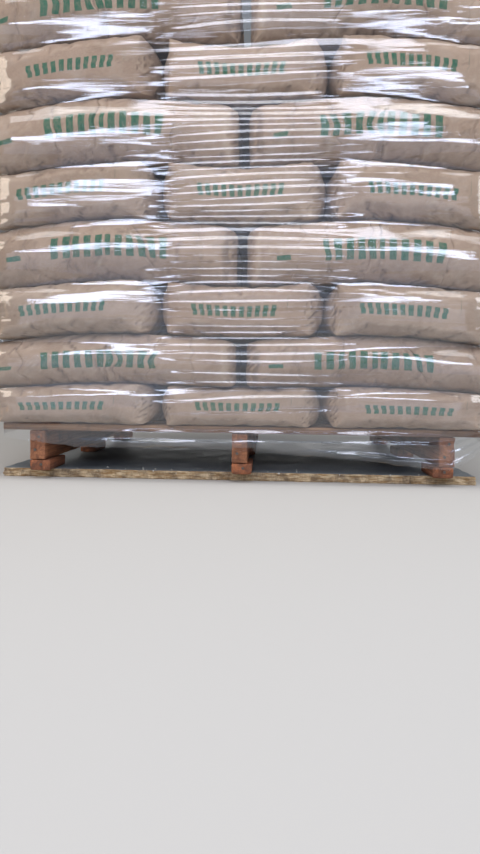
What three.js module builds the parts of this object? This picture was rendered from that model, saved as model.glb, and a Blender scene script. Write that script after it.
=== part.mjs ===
// A wrapped pallet of filled paper sacks: eight layers of five sacks on a wooden stringer pallet.
// Millimetres, +Z up. X runs along the front face and Y into the load, and the origin lies under
// the middle of the load, on the surface that the pallet stands on.
import * as THREE from "three";
import { LoftGeometry } from "three/addons/geometries/LoftGeometry.js";

// Sacks and how they are laid
const SACK_LENGTH = 648;
const SACK_WIDTH = 412;
// Mean thickness of each layer, from the bottom up: the lower sacks are squeezed flatter
const LAYER_HEIGHTS = [112, 120, 138, 144, 146, 145, 146, 144];
const END_THINNING = 0.06; // a layer is thinner by this share where its sacks' ends face out
const FIT = 0.4; // each sack keeps this much clear on every side

// How the layers sag, largest on top of the last layer
const END_DROOP = 58;
const MIDDLE_DIP = 24;
const FACE_DROOP = 8;
const DIP_END_X = 300;
const DROOP_KNOTS = [
  [DIP_END_X, 0],
  [430, 0.2],
  [545, 0.58],
  [SACK_LENGTH, 1],
];
const FACE_DROOP_Y = 380;

// The rounded form of one sack
const LONG_EDGE = 50; // from a long side to where the top lies flat
const END_EDGE = 32; // the same at the pasted ends
const LONG_SHOULDER = 12; // how far the shoulder lies inside the fullest part of a long side
const END_SHOULDER = 10;
const CORNER_PULL = 13;
const SHOULDER_LOW = 0.2; // heights within the layer, as shares of its thickness
const SHOULDER_HIGH = 0.8;
const FULLEST = 0.5;

// Pallet
const PALLET_WIDTH = 1200;
const PALLET_DEPTH = 1000;
const SHEET_SIZE = [1220, 910, 22];
const SHEET_SHIFT_X = -10;
const BLOCK_SIZE = [52, 126, 28];
const BLOCK_RADIUS = 8;
const STRINGER_WIDTH = 40;
const STRINGER_HEIGHT = 75;
const STRINGER_X = { left: -512, middle: 0, right: 512 };
const BLOCK_SHIFT_X = { left: 6, middle: 6, right: -8 };
const BOARD_WIDTH = 125;
const BOARD_THICKNESS = 18;
const BOARD_COUNT = 6;
const SEAT_GAP = 0.3; // between pieces that rest on each other

// Stretch film, drawn thicker than the real film's few turns
const FILM_THICKNESS = 0.8;
const FILM_CLEAR = 0.2;
const FILM_SHOULDER = 9;
const FILM_WAIST = 12; // how far the film is drawn in between two layers
const FILM_EDGE = 30;
const FILM_CORNER = 28;
const FILM_CORNER_PULL = 12;
const FILM_TOP_CORNER_PULL = 4;
const LIP_X = 575;
const LIP_Y = 445;
const DECK_CLEAR = 0.7;
const WING_CLEAR = 1.5;
const HEM_SIDE = 116;
const HEM_BACK = 86;
const HEM_BACK_X = 560; // beyond this the back hem rises to the sides
// Height of the film's lower edge across the front, which hangs lowest at the right stringer
const HEM_FRONT = [
  [-600, 112],
  [-545, 100],
  [-430, 86],
  [0, 84],
  [300, 64],
  [430, 50],
  [545, 42],
  [600, 108],
];

const SHEET_TOP = SHEET_SIZE[2];
const BLOCK_TOP = SHEET_TOP + BLOCK_SIZE[2];
const STRINGER_TOP = BLOCK_TOP + STRINGER_HEIGHT;
const DECK_TOP = STRINGER_TOP + BOARD_THICKNESS;
const LAYERS = LAYER_HEIGHTS.length;
const HALF_DEPTH = (SACK_LENGTH + SACK_WIDTH) / 2;
const HALF_HEADERS = 1.5 * SACK_WIDTH;

const kraftPaper = new THREE.MeshStandardMaterial({ color: 0xb39c82, roughness: 0.85, metalness: 0 });
const hardwood = new THREE.MeshStandardMaterial({ color: 0xa0674a, roughness: 0.8, metalness: 0 });
const plywood = new THREE.MeshStandardMaterial({ color: 0xb99a6c, roughness: 0.75, metalness: 0 });
const film = new THREE.MeshStandardMaterial({
  color: 0xe8edf2,
  roughness: 0.12,
  metalness: 0,
  transparent: true,
  opacity: 0.25,
  side: THREE.DoubleSide,
});

// Linear interpolation in a list of [position, value] pairs
function along(knots, position) {
  const last = knots.length - 1;
  const next = knots.findIndex(([at]) => position <= at);
  if (next === 0) return knots[0][1];
  if (next < 0) return knots[last][1];
  const [x0, v0] = knots[next - 1];
  const [x1, v1] = knots[next];
  return v0 + ((v1 - v0) * (position - x0)) / (x1 - x0);
}

// Odd layers lay their headers at the front, even layers at the back
function headersInFront(layer) {
  return layer % 2 === 1;
}

// Height of the surface between a layer and the one above it; level 0 is the pallet's deck.
// It is a function of x plus a function of y, straight between the knots, so that the faces of
// sacks that cross each other meet in flat patches.
function levelHeight(level, x, y) {
  let height = DECK_TOP;
  for (let layer = 1; layer <= level; layer++) {
    const side = headersInFront(layer) ? 1 : -1;
    height += LAYER_HEIGHTS[layer - 1] * (1 + (side * END_THINNING * y) / HALF_DEPTH);
  }
  const growth = Math.sqrt(level / LAYERS);
  const outward = Math.abs(x);
  const dip = MIDDLE_DIP * Math.max(0, 1 - outward / DIP_END_X);
  const droop = END_DROOP * along(DROOP_KNOTS, outward);
  const pastFace = Math.max(0, Math.abs(y) - FACE_DROOP_Y) / (HALF_DEPTH - FACE_DROOP_Y);
  return height - growth * (dip + droop + FACE_DROOP * pastFace);
}

// Height inside a layer, where share 0 is its underside and 1 its top
function insideLayer(layer, share, x, y) {
  const low = levelHeight(layer - 1, x, y) + FIT;
  const high = levelHeight(layer, x, y) - FIT;
  return low + share * (high - low);
}

// Grid lines across a sack: its sides, where its flat part starts and ends, and the sag's knots
function gridLines(low, high, edge, knots) {
  const inner = knots.filter((knot) => knot > low + edge && knot < high - edge);
  return [low, low + edge, ...inner, high - edge, high];
}

// One sack between x and y limits in a layer: a gridded box whose points are moved to the sag
function makeSack(name, layer, [x0, x1], [y0, y1]) {
  const lengthways = y1 - y0 > x1 - x0;
  const edgeX = lengthways ? LONG_EDGE : END_EDGE;
  const edgeY = lengthways ? END_EDGE : LONG_EDGE;
  const shoulderX = lengthways ? LONG_SHOULDER : END_SHOULDER;
  const shoulderY = lengthways ? END_SHOULDER : LONG_SHOULDER;
  const outer = DROOP_KNOTS.slice(0, -1).map(([at]) => at);
  const xLines = gridLines(x0, x1, edgeX, [...outer.map((at) => -at).reverse(), 0, ...outer]);
  const yLines = gridLines(y0, y1, edgeY, [-FACE_DROOP_Y, FACE_DROOP_Y]);
  const nx = xLines.length - 1;
  const ny = yLines.length - 1;
  const geometry = new THREE.BoxGeometry(1, 1, 1, nx, ny, 2);
  const position = geometry.getAttribute("position");
  for (let i = 0; i < position.count; i++) {
    const ix = Math.round((position.getX(i) + 0.5) * nx);
    const iy = Math.round((position.getY(i) + 0.5) * ny);
    const iz = Math.round((position.getZ(i) + 0.5) * 2);
    const sideX = ix === 0 ? 1 : ix === nx ? -1 : 0;
    const sideY = iy === 0 ? 1 : iy === ny ? -1 : 0;
    const onSide = sideX !== 0 || sideY !== 0;
    const pull = sideX !== 0 && sideY !== 0 ? CORNER_PULL : 0;
    const shoulder = iz === 1 ? 0 : 1;
    const x = xLines[ix] + sideX * (shoulder * shoulderX + pull);
    const y = yLines[iy] + sideY * (shoulder * shoulderY + pull);
    const sideShares = [SHOULDER_LOW, FULLEST, SHOULDER_HIGH];
    const share = onSide ? sideShares[iz] : iz / 2;
    position.setXYZ(i, x, y, insideLayer(layer, share, x, y));
  }
  return named(name, geometry, kraftPaper);
}

function named(name, geometry, material) {
  const mesh = new THREE.Mesh(geometry, material);
  mesh.name = name;
  return mesh;
}

// A layer's five sacks: three headers end-on to one face, and two stretchers along the other
function makeLayer(layer) {
  const group = new THREE.Group();
  const turn = headersInFront(layer) ? 1 : -1;
  const span = (a, b) => [Math.min(turn * a, turn * b) + FIT, Math.max(turn * a, turn * b) - FIT];
  const headerY = span(-HALF_DEPTH, SACK_LENGTH - HALF_DEPTH);
  const stretcherY = span(SACK_LENGTH - HALF_DEPTH, HALF_DEPTH);
  ["left", "middle", "right"].forEach((side, i) => {
    const start = -HALF_HEADERS + i * SACK_WIDTH;
    const headerX = [start + FIT, start + SACK_WIDTH - FIT];
    group.add(makeSack(`sack_${layer}_header_${side}`, layer, headerX, headerY));
  });
  ["left", "right"].forEach((side, i) => {
    const start = (i - 1) * SACK_LENGTH;
    const stretcherX = [start + FIT, start + SACK_LENGTH - FIT];
    group.add(makeSack(`sack_${layer}_stretcher_${side}`, layer, stretcherX, stretcherY));
  });
  return group;
}

// The board that the pallet's blocks stand on
function makeBaseSheet() {
  const mesh = named("base_sheet", new THREE.BoxGeometry(...SHEET_SIZE), plywood);
  mesh.position.set(SHEET_SHIFT_X, 0, SHEET_TOP / 2);
  return mesh;
}

// A low block with its two lower long edges rounded
function makeBlock(name, x, y) {
  const [width, depth, height] = BLOCK_SIZE;
  const half = width / 2;
  const tall = height - SEAT_GAP;
  const shape = new THREE.Shape();
  shape.moveTo(-half, tall);
  shape.lineTo(-half, BLOCK_RADIUS);
  shape.absarc(-half + BLOCK_RADIUS, BLOCK_RADIUS, BLOCK_RADIUS, Math.PI, 1.5 * Math.PI, false);
  shape.absarc(half - BLOCK_RADIUS, BLOCK_RADIUS, BLOCK_RADIUS, 1.5 * Math.PI, 2 * Math.PI, false);
  shape.lineTo(half, tall);
  shape.closePath();
  const geometry = new THREE.ExtrudeGeometry(shape, { depth, bevelEnabled: false, curveSegments: 3 });
  const mesh = named(name, geometry, hardwood);
  mesh.rotation.x = Math.PI / 2;
  mesh.position.set(x, y + depth / 2, SHEET_TOP + SEAT_GAP);
  return mesh;
}

// Three stringers, each standing on a front, a middle and a back block
function makeRunners() {
  const group = new THREE.Group();
  const reach = (PALLET_DEPTH - BLOCK_SIZE[1]) / 2;
  const blockY = { front: -reach, middle: 0, back: reach };
  const height = STRINGER_HEIGHT - 2 * SEAT_GAP;
  for (const [side, x] of Object.entries(STRINGER_X)) {
    const beam = new THREE.BoxGeometry(STRINGER_WIDTH, PALLET_DEPTH, height);
    const stringer = named(`stringer_${side}`, beam, hardwood);
    stringer.position.set(x, 0, BLOCK_TOP + STRINGER_HEIGHT / 2);
    group.add(stringer);
    for (const [place, y] of Object.entries(blockY))
      group.add(makeBlock(`block_${side}_${place}`, x + BLOCK_SHIFT_X[side], y));
  }
  return group;
}

function makeDeck() {
  const group = new THREE.Group();
  const pitch = (PALLET_DEPTH - BOARD_WIDTH) / (BOARD_COUNT - 1);
  for (let i = 0; i < BOARD_COUNT; i++) {
    const board = new THREE.BoxGeometry(PALLET_WIDTH, BOARD_WIDTH, BOARD_THICKNESS);
    const mesh = named(`deck_board_${i + 1}`, board, hardwood);
    mesh.position.set(0, (BOARD_WIDTH - PALLET_DEPTH) / 2 + i * pitch, DECK_TOP - BOARD_THICKNESS / 2);
    group.add(mesh);
  }
  return group;
}

// One ring of the film, anticlockwise from the front left corner. frontX, backX and faceY are
// half-widths and half-depth, and cornerPull rounds its corners.
function filmRing(frontX, backX, faceY, cornerPull, heightAt) {
  const xKnots = [-545, -430, -DIP_END_X, 0, DIP_END_X, 430, 545];
  const wide = Math.max(frontX, backX);
  const stepY = HALF_DEPTH - SACK_LENGTH;
  const turnY = (frontX < backX ? -1 : 1) * (stepY - LONG_EDGE + END_SHOULDER / 2);
  const cornerY = faceY - FILM_CORNER;
  const sideX = (y) => {
    const narrow = Math.min(frontX, backX);
    const toNarrow = frontX < backX ? -y : y;
    const fromTurn = Math.max(0, toNarrow + Math.abs(turnY));
    return wide - ((wide - narrow) * fromTurn) / (cornerY + Math.abs(turnY));
  };
  const sideY = [-FACE_DROOP_Y, turnY, FACE_DROOP_Y];
  const right = [
    [frontX - FILM_CORNER, -faceY],
    [frontX - cornerPull, -faceY + cornerPull],
    [frontX, -cornerY],
    ...sideY.map((y) => [sideX(y), y]),
    [backX, cornerY],
    [backX - cornerPull, faceY - cornerPull],
    [backX - FILM_CORNER, faceY],
  ];
  const outline = [
    ...xKnots.map((x) => [x, -faceY]),
    ...right,
    ...xKnots.map((x) => [-x, faceY]),
    ...right.map(([x, y]) => [-x, y]).reverse(),
  ];
  return outline.map(([x, y]) => new THREE.Vector3(x, y, heightAt(x, y)));
}

// The film's inner face as rings, from its lower edge to its lip on top of the load
function filmRings() {
  const halfX = (inFront) => (inFront ? HALF_HEADERS : SACK_LENGTH) + FILM_CLEAR;
  const faceY = HALF_DEPTH + FILM_CLEAR;
  const deckX = PALLET_WIDTH / 2 + DECK_CLEAR;
  const deckY = PALLET_DEPTH / 2 + DECK_CLEAR;
  const ringOf = (layer, share, recess) =>
    filmRing(
      halfX(headersInFront(layer)) - recess,
      halfX(!headersInFront(layer)) - recess,
      faceY - recess,
      FILM_CORNER_PULL,
      (x, y) => insideLayer(layer, share, x, y),
    );
  const hem = (x, y) => {
    if (y < -deckY + 1) return along(HEM_FRONT, x);
    return y > deckY - 1 && Math.abs(x) < HEM_BACK_X ? HEM_BACK : HEM_SIDE;
  };
  const wing = (inFront) => Math.max(halfX(inFront) - FILM_EDGE, PALLET_WIDTH / 2 + WING_CLEAR);
  const flare = DECK_TOP - 4;
  const rings = [
    filmRing(deckX, deckX, deckY, 0, hem),
    filmRing(deckX, deckX, deckY, 0, () => STRINGER_TOP - 1),
    filmRing(deckX, deckX, deckY, 0, () => flare),
    filmRing(wing(true), wing(false), faceY - FILM_EDGE, 0, () => DECK_TOP + FILM_CLEAR),
    ringOf(1, SHOULDER_LOW, FILM_SHOULDER),
  ];
  const waistX = (halfX(true) + halfX(false)) / 2;
  for (let layer = 1; layer <= LAYERS; layer++) {
    rings.push(ringOf(layer, FULLEST, 0));
    const between = (x, y) => levelHeight(layer, x, y);
    if (layer < LAYERS)
      rings.push(filmRing(waistX, waistX, faceY - FILM_WAIST, FILM_CORNER_PULL, between));
  }
  rings.push(ringOf(LAYERS, SHOULDER_HIGH, FILM_SHOULDER));
  const onTop = (x, y) => levelHeight(LAYERS, x, y) + FILM_CLEAR;
  const topInFront = headersInFront(LAYERS);
  rings.push(
    filmRing(
      halfX(topInFront) - FILM_EDGE,
      halfX(!topInFront) - FILM_EDGE,
      faceY - FILM_EDGE,
      FILM_TOP_CORNER_PULL,
      onTop,
    ),
    filmRing(LIP_X, LIP_X, LIP_Y, FILM_CORNER_PULL, onTop),
  );
  return rings;
}

// Moves each point of the inner face outwards by the film's thickness
function outerRings(rings) {
  const count = rings[0].length;
  return rings.map((ring, row) =>
    ring.map((point, i) => {
      const up = rings[Math.min(row + 1, rings.length - 1)][i].clone();
      up.sub(rings[Math.max(row - 1, 0)][i]);
      const round = ring[(i + 1) % count].clone().sub(ring[(i + count - 1) % count]);
      const outward = round.cross(up).normalize();
      return point.clone().addScaledVector(outward, FILM_THICKNESS);
    }),
  );
}

// Splits the inner wall's quads along the same diagonals as the outer wall's, so that where the
// film is twisted its two walls stay the same distance apart
function matchDiagonals(geometry, outerQuads) {
  const index = geometry.getIndex();
  for (let start = 6 * outerQuads; start < index.count; start += 6) {
    const [a, b, d, , c] = index.array.slice(start, start + 5);
    index.array.set([a, b, c, a, c, d], start);
  }
  return geometry;
}

function makeFilm() {
  const inner = filmRings();
  const outer = outerRings(inner);
  const sections = [...outer, ...inner.toReversed(), outer[0]];
  const outerQuads = (outer.length - 1) * outer[0].length;
  return named("stretch_wrap", matchDiagonals(new LoftGeometry(sections), outerQuads), film);
}

const palletOfSacks = new THREE.Group();
palletOfSacks.add(makeBaseSheet(), makeRunners(), makeDeck());
for (let layer = 1; layer <= LAYERS; layer++) palletOfSacks.add(makeLayer(layer));
palletOfSacks.add(makeFilm());

export default palletOfSacks;
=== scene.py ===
# The looks of a wrapped pallet of filled paper sacks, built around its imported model.
# Metres, +Z up. X runs along the front face and Y into the load.
import math

import bpy
import numpy as np
from mathutils import Matrix, Vector
from mathutils.bvhtree import BVHTree


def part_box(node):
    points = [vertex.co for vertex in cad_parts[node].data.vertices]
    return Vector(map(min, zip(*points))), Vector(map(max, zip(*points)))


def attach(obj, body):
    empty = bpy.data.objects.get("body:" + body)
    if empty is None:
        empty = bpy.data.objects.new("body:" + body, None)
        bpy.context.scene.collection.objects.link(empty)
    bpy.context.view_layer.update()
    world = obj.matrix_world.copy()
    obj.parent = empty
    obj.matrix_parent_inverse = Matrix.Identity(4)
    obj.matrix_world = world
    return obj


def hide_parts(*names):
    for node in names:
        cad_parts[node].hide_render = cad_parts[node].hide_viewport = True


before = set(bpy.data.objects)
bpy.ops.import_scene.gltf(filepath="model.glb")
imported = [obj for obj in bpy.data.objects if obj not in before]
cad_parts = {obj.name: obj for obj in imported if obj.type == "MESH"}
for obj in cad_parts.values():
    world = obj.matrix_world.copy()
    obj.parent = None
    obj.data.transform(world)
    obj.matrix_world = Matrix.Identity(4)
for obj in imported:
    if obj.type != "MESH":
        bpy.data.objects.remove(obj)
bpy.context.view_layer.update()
scene = bpy.context.scene

# Camera, as the photograph was taken
CAMERA_PLACE = (0.070, -2.089, 0.253)
CAMERA_TURNS = (86.0, 2.5, 0.8)  # degrees up from straight down, to the left, and anticlockwise
CAMERA_LENS = 27
SENSOR_SIZE = 36

# One sack before it is pressed into its place in the load
SACK_LENGTH = 0.647
SACK_WIDTH = 0.411
SACK_THICKNESS = 0.140
HALF_LENGTH, HALF_WIDTH, HALF_THICKNESS = SACK_LENGTH / 2, SACK_WIDTH / 2, SACK_THICKNESS / 2
# How a long side rounds into the top: its reach inwards, and its power, where 2 is an ellipse
HEADER_ROUND = (0.037, 3.0)
STRETCHER_ROUND = (0.050, 2.3)
HEADER_END = (0.182, 0.055)  # half the width of the pasted end, and how far back its ears reach
STRETCHER_END = (0.158, 0.026)
END_ROUND_TOP = 0.006
END_ROUND_LOW = 0.013
END_PILLOW = 0.005
END_SET_BACK = 0.004
EAR_WRINKLES = (0.0030, 0.0045)  # depth along the sack and across it

RECESS = 0.03  # share of its length by which a header is short of the load's face
RECESSED_LAYERS = ("5", "7")  # where all three headers stand back, and the film spans them flat
SEAM_GAP = 0.015  # how far a sack draws back from a neighbour beside it, near the load's faces
SEAM_DEPTH = 0.25
END_GAP = 0.012  # how far a stretcher's end stands back from the middle of the load's face
PATCH_LEAN = 0.010  # a header's pasted end sits to one side, and the ear on the other is wide
INNER_DROP = 0.11  # how far a stretcher thins towards its end in the middle of the load's face
OUTER_DROP = 0.06
DROP_LENGTH = 0.10

# Print on the sacks, as plain bars: length and height
HEADER_PRINT = (0.257, 0.034)
STRETCHER_PRINT = (0.308, 0.048)
PRINT_BARS = 11
PRINT_RAGGED = 0.05  # how far the ink's edge strays, as a share of the row's height
PRINT_LIMITS = (0.5, 0.5)  # middle and half its length, along and up the row
BAR_LIMITS = (0.3, 0.3)  # the same for one bar in its step
DASH_LIMITS = ((-0.305, 0.055), (0.23, 0.11))  # the same for the dash beside the row
NO_PRINT = -5.0

LAYERS = 8


def add_object(name, data):
    thing = bpy.data.objects.new(name, data)
    scene.collection.objects.link(thing)
    return thing


def add_camera():
    data = bpy.data.cameras.new("photo_view")
    data.lens = CAMERA_LENS
    data.sensor_width = SENSOR_SIZE
    camera = add_object("photo_view", data)
    tilt, yaw, roll = (math.radians(angle) for angle in CAMERA_TURNS)
    turn = Matrix.Rotation(yaw, 4, "Z") @ Matrix.Rotation(tilt, 4, "X") @ Matrix.Rotation(roll, 4, "Z")
    camera.matrix_world = Matrix.Translation(CAMERA_PLACE) @ turn
    scene.camera = camera


add_camera()


# Small helpers


def linear(code):
    """The linear colour of an sRGB hex value."""
    parts = [int(code[i : i + 2], 16) / 255 for i in (1, 3, 5)]
    bright = [p / 12.92 if p <= 0.04045 else ((p + 0.055) / 1.055) ** 2.4 for p in parts]
    return (*bright, 1.0)


def new_material(name):
    """A new material, and its emptied node tree."""
    material = bpy.data.materials.new(name)
    material.use_nodes = True
    tree = material.node_tree
    tree.nodes.clear()
    return material, tree


def add(tree, kind, inputs=None, out=0, **settings):
    """Adds a node with its settings and gives back one of its outputs. An input is a value for its
    socket, or another node's output to link."""
    node = tree.nodes.new(kind)
    for name, value in settings.items():
        setattr(node, name, value)
    for name, value in (inputs or {}).items():
        if isinstance(value, bpy.types.NodeSocket):
            tree.links.new(value, node.inputs[name])
        else:
            node.inputs[name].default_value = value
    return node.outputs[out] if node.outputs else node


def object_noise(tree, size, stretch=(1, 1, 1), **inputs):
    """Noise on Object coordinates, with features about size metres across before stretching."""
    coords = add(tree, "ShaderNodeTexCoord", out="Object")
    scale = tuple(1 / (size * along) for along in stretch)
    placed = add(tree, "ShaderNodeMapping", {"Vector": coords, "Scale": scale})
    usual = {"Vector": placed, "Scale": 1.0, "Detail": 3.0, "Roughness": 0.55}
    return add(tree, "ShaderNodeTexNoise", {**usual, **inputs})


def coat(tree, base, coats):
    """Lays colours over a base, one on another: each has its pattern, the pattern's two values that
    its share runs between, the share at each, and its colour."""
    for *spread, colour in coats:
        share = add(tree, "ShaderNodeMapRange", dict(enumerate(spread)))
        mixed = {0: share, 6: base, 7: linear(colour)}
        base = add(tree, "ShaderNodeMix", mixed, 2, data_type="RGBA")
    return base


def carve(tree, layers):
    """Relief in layers, each a pattern with its height in metres and its strength, as the normal
    that a shader takes in."""
    normal = {}
    for pattern, height, strength in layers:
        inputs = {"Height": pattern, "Distance": height, "Strength": strength, **normal}
        normal = {"Normal": add(tree, "ShaderNodeBump", inputs)}
    return normal


def surfaced(material, base, coats, roughness, relief=(), **inputs):
    """Ends a material in one shader, from its colours, its relief, and its roughness, which is one
    number or runs with a pattern as a coat's share does."""
    tree = material.node_tree
    if isinstance(roughness, tuple):
        roughness = add(tree, "ShaderNodeMapRange", dict(enumerate(roughness)))
    inputs.update({"Base Color": coat(tree, linear(base), coats), "Roughness": roughness})
    inputs.update(carve(tree, relief))
    shader = add(tree, "ShaderNodeBsdfPrincipled", inputs)
    add(tree, "ShaderNodeOutputMaterial", {"Surface": shader})
    return material


def smooth(edge0, edge1, x):
    t = np.clip((x - edge0) / (edge1 - edge0), 0, 1)
    return t * t * (3 - 2 * t)


def waves(points, size, seed, count=7):
    """A soft random field in about -1..1 with waves about size long, from sines."""
    rng = np.random.default_rng(seed)
    total = np.zeros(points.shape[:-1])
    for _ in range(count):
        direction = rng.normal(size=points.shape[-1])
        direction /= np.linalg.norm(direction)
        length = size * rng.uniform(0.7, 1.4)
        total += np.sin(points @ direction * (2 * math.pi / length) + rng.uniform(0, 2 * math.pi))
    return total / math.sqrt(count) * 0.8


def crumple(points, size, seed):
    """A field with sharp valleys and flat facets, as in creased paper, in about 0..1."""
    return np.abs(waves(points, size, seed)) * 0.7 + np.abs(waves(points, size * 0.45, seed + 1)) * 0.3


def steps(*stretches):
    """Positions from 0 through (end, spacing) stretches."""
    positions = [0.0]
    for end, spacing in stretches:
        count = max(1, round((end - positions[-1]) / spacing))
        positions += list(np.linspace(positions[-1], end, count + 1)[1:])
    return np.array(positions)


def box_lattice(lines):
    """The surface of the lattice that rows of lines make, one row each way: its points, outward
    quads and their sides, which are 0 low x, 1 high x, 2 low y, 3 high y, 4 low z, 5 high z."""
    shape = tuple(len(row) for row in lines)
    grid = np.indices(shape).reshape(3, -1).T
    last = np.array(shape) - 1
    shell = grid[((grid == 0) | (grid == last)).any(axis=1)]
    number = np.full(shape, -1)
    number[tuple(shell.T)] = np.arange(len(shell))
    layers = (number.take(end, axis) for axis in range(3) for end in (0, -1))
    quads, sides = [], []
    for side, (layer, turned) in enumerate(zip(layers, (1, 0, 0, 1, 1, 0))):
        corners = (layer[:-1, :-1], layer[1:, :-1], layer[1:, 1:], layer[:-1, 1:])
        these = np.stack(corners, axis=-1).reshape(-1, 4)
        quads.append(these[:, ::-1] if turned else these)
        sides.append(np.full(len(these), side))
    points = np.stack([row[shell[:, k]] for k, row in enumerate(lines)], axis=1)
    return points, np.concatenate(quads), np.concatenate(sides)


def add_mesh(name, points, faces, material=None):
    mesh = bpy.data.meshes.new(name)
    mesh.from_pydata(points.tolist(), [], faces.tolist())
    mesh.shade_smooth()
    if material is not None:
        mesh.materials.append(material)
    return add_object(name, mesh)


def stand_in(piece, node):
    """Hides a CAD node, so that a piece built in its place stands in for it."""
    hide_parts(node)
    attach(piece, "root")
    return piece


def mesh_points(mesh):
    places = np.empty(len(mesh.vertices) * 3, np.float32)
    mesh.vertices.foreach_get("co", places)
    return places.reshape(-1, 3)


def ray_tree(pieces):
    """The surfaces of some pieces, for rays to be cast at."""
    points, faces = [], []
    for mesh in (piece.data for piece in pieces):
        faces += [[len(points) + v for v in polygon.vertices] for polygon in mesh.polygons]
        points += mesh_points(mesh).tolist()
    return BVHTree.FromPolygons(points, faces)


def hollows(points, faces):
    """How deep each point lies below the mean of its neighbours, in metres; ridges are negative."""
    total, normals = np.zeros((2, *points.shape))
    cross = np.cross(points[faces[:, 2]] - points[faces[:, 0]], points[faces[:, 3]] - points[faces[:, 1]])
    for k in range(4):
        np.add.at(total, faces[:, k], points[faces[:, (k + 1) % 4]])
        np.add.at(normals, faces[:, k], cross)
    normals /= np.linalg.norm(normals, axis=1, keepdims=True)
    means = total / np.bincount(faces.ravel())[:, None]
    return np.einsum("ij,ij->i", means - points, normals), normals


# Materials


def make_kraft_paper():
    """Two-ply sack kraft: matt, fibrous and a little slubby, paler where it is scuffed and dusty
    with cement, and darkened in its creases and hollows with painted shade. Green flexo ink sits on
    it, patchy over the slubs. The fibres are drawn some ten times coarser than real ones."""
    material, tree = new_material("sack_kraft_paper")
    tone = add(tree, "ShaderNodeAttribute", out="Fac", attribute_name="tone")
    hollow = add(tree, "ShaderNodeAttribute", out="Fac", attribute_name="hollow")
    clouds = object_noise(tree, 0.11, Detail=4.0)
    fibres = object_noise(tree, 0.004, (1, 1, 0.4), Detail=2.0)
    dust = object_noise(tree, 0.06, Detail=6.0, Roughness=0.7)
    coats = (
        (clouds, 0.35, 0.68, 0, 1, "#b09b88"),
        (tone, 0, 1, 0, 1, "#947660"),
        (fibres, 0.45, 0.75, 0, 0.30, "#c6b4a2"),
        # Painted shade: colour darkened deep in the paper's creases and hollows, standing in for the
        # shade there
        (hollow, 0.00020, 0.0014, 0, 0.55, "#54443a"),
        (hollow, -0.0012, -0.0002, 0.35, 0, "#c9b7a2"),
        (dust, 0.52, 0.75, 0, 0.35, "#b5aca0"),
        (printed_ink(tree), 0, 1, 0, 1, "#1f5f47"),
    )
    slubs = object_noise(tree, 0.03, Distortion=0.6)
    relief = ((slubs, 0.0022, 0.5), (fibres, 0.0004, 0.5))
    roughness = (clouds, 0.3, 0.7, 0.72, 0.9)
    return surfaced(material, "#98826e", coats, roughness, relief, **{"Specular IOR Level": 0.35})


def printed_ink(tree):
    """Where the print's bars and its dash lie on the sack's face, and how worn the ink is there."""
    place = add(tree, "ShaderNodeUVMap", uv_map="print")
    bleed = object_noise(tree, 0.006, Detail=4.0)
    ragged = add(tree, "ShaderNodeMapRange", {0: bleed, 3: -PRINT_RAGGED, 4: PRINT_RAGGED})
    split = add(tree, "ShaderNodeSeparateXYZ", {0: place}).node.outputs
    across = add(tree, "ShaderNodeMath", {0: ragged, 1: 0.12, 2: split[0]}, operation="MULTIPLY_ADD")
    up = add(tree, "ShaderNodeMath", {0: split[1], 1: ragged}, operation="ADD")
    counted = add(tree, "ShaderNodeMath", {0: across, 1: PRINT_BARS}, operation="MULTIPLY")
    in_step = add(tree, "ShaderNodeMath", {0: counted}, operation="FRACT")
    # Ink lies where each of these is near its middle: along, up and within each bar; then the dash
    bars = ((across, *PRINT_LIMITS), (up, *PRINT_LIMITS), (in_step, *BAR_LIMITS))
    dash = ((across, *DASH_LIMITS[0]), (up, *DASH_LIMITS[1]))
    inked = []
    for limits in (bars, dash):
        part = 1.0
        for value, middle, reach in limits:
            near = add(tree, "ShaderNodeMath", {0: value, 1: middle, 2: reach}, operation="COMPARE")
            part = add(tree, "ShaderNodeMath", {0: near, 1: part}, operation="MULTIPLY")
        inked.append(part)
    printed = add(tree, "ShaderNodeMath", {0: inked[0], 1: inked[1]}, operation="MAXIMUM")
    scuffs = object_noise(tree, 0.012, Detail=6.0, Roughness=0.75)
    worn = add(tree, "ShaderNodeMapRange", {0: scuffs, 1: 0.30, 2: 0.58, 3: 0.62, 4: 0.97})
    return add(tree, "ShaderNodeMath", {0: printed, 1: worn}, operation="MULTIPLY")


def make_hardwood(name, stretch, pale, dark, stain):
    """Rough-sawn tropical hardwood: reddish, with saw fuzz, dark pores along the grain and dirt."""
    material, tree = new_material(name)
    grain = object_noise(tree, 0.004, stretch, Detail=5.0, Roughness=0.65, Distortion=0.4)
    bands = object_noise(tree, 0.022, stretch, Detail=2.0, Distortion=1.2)
    dirt = object_noise(tree, 0.05, Detail=6.0, Roughness=0.7)
    fuzz = object_noise(tree, 0.012, Detail=4.0)
    coats = (
        (bands, 0.35, 0.65, 0, 1, pale),
        (grain, 0.42, 0.62, 0, 0.6, dark),
        (dirt, 0.50, 0.72, 0, 0.75, stain),
    )
    relief = ((grain, 0.0012, 0.6), (fuzz, 0.0015, 0.4))
    return surfaced(material, dark, coats, (grain, 0.3, 0.7, 0.7, 0.88), relief)


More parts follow.
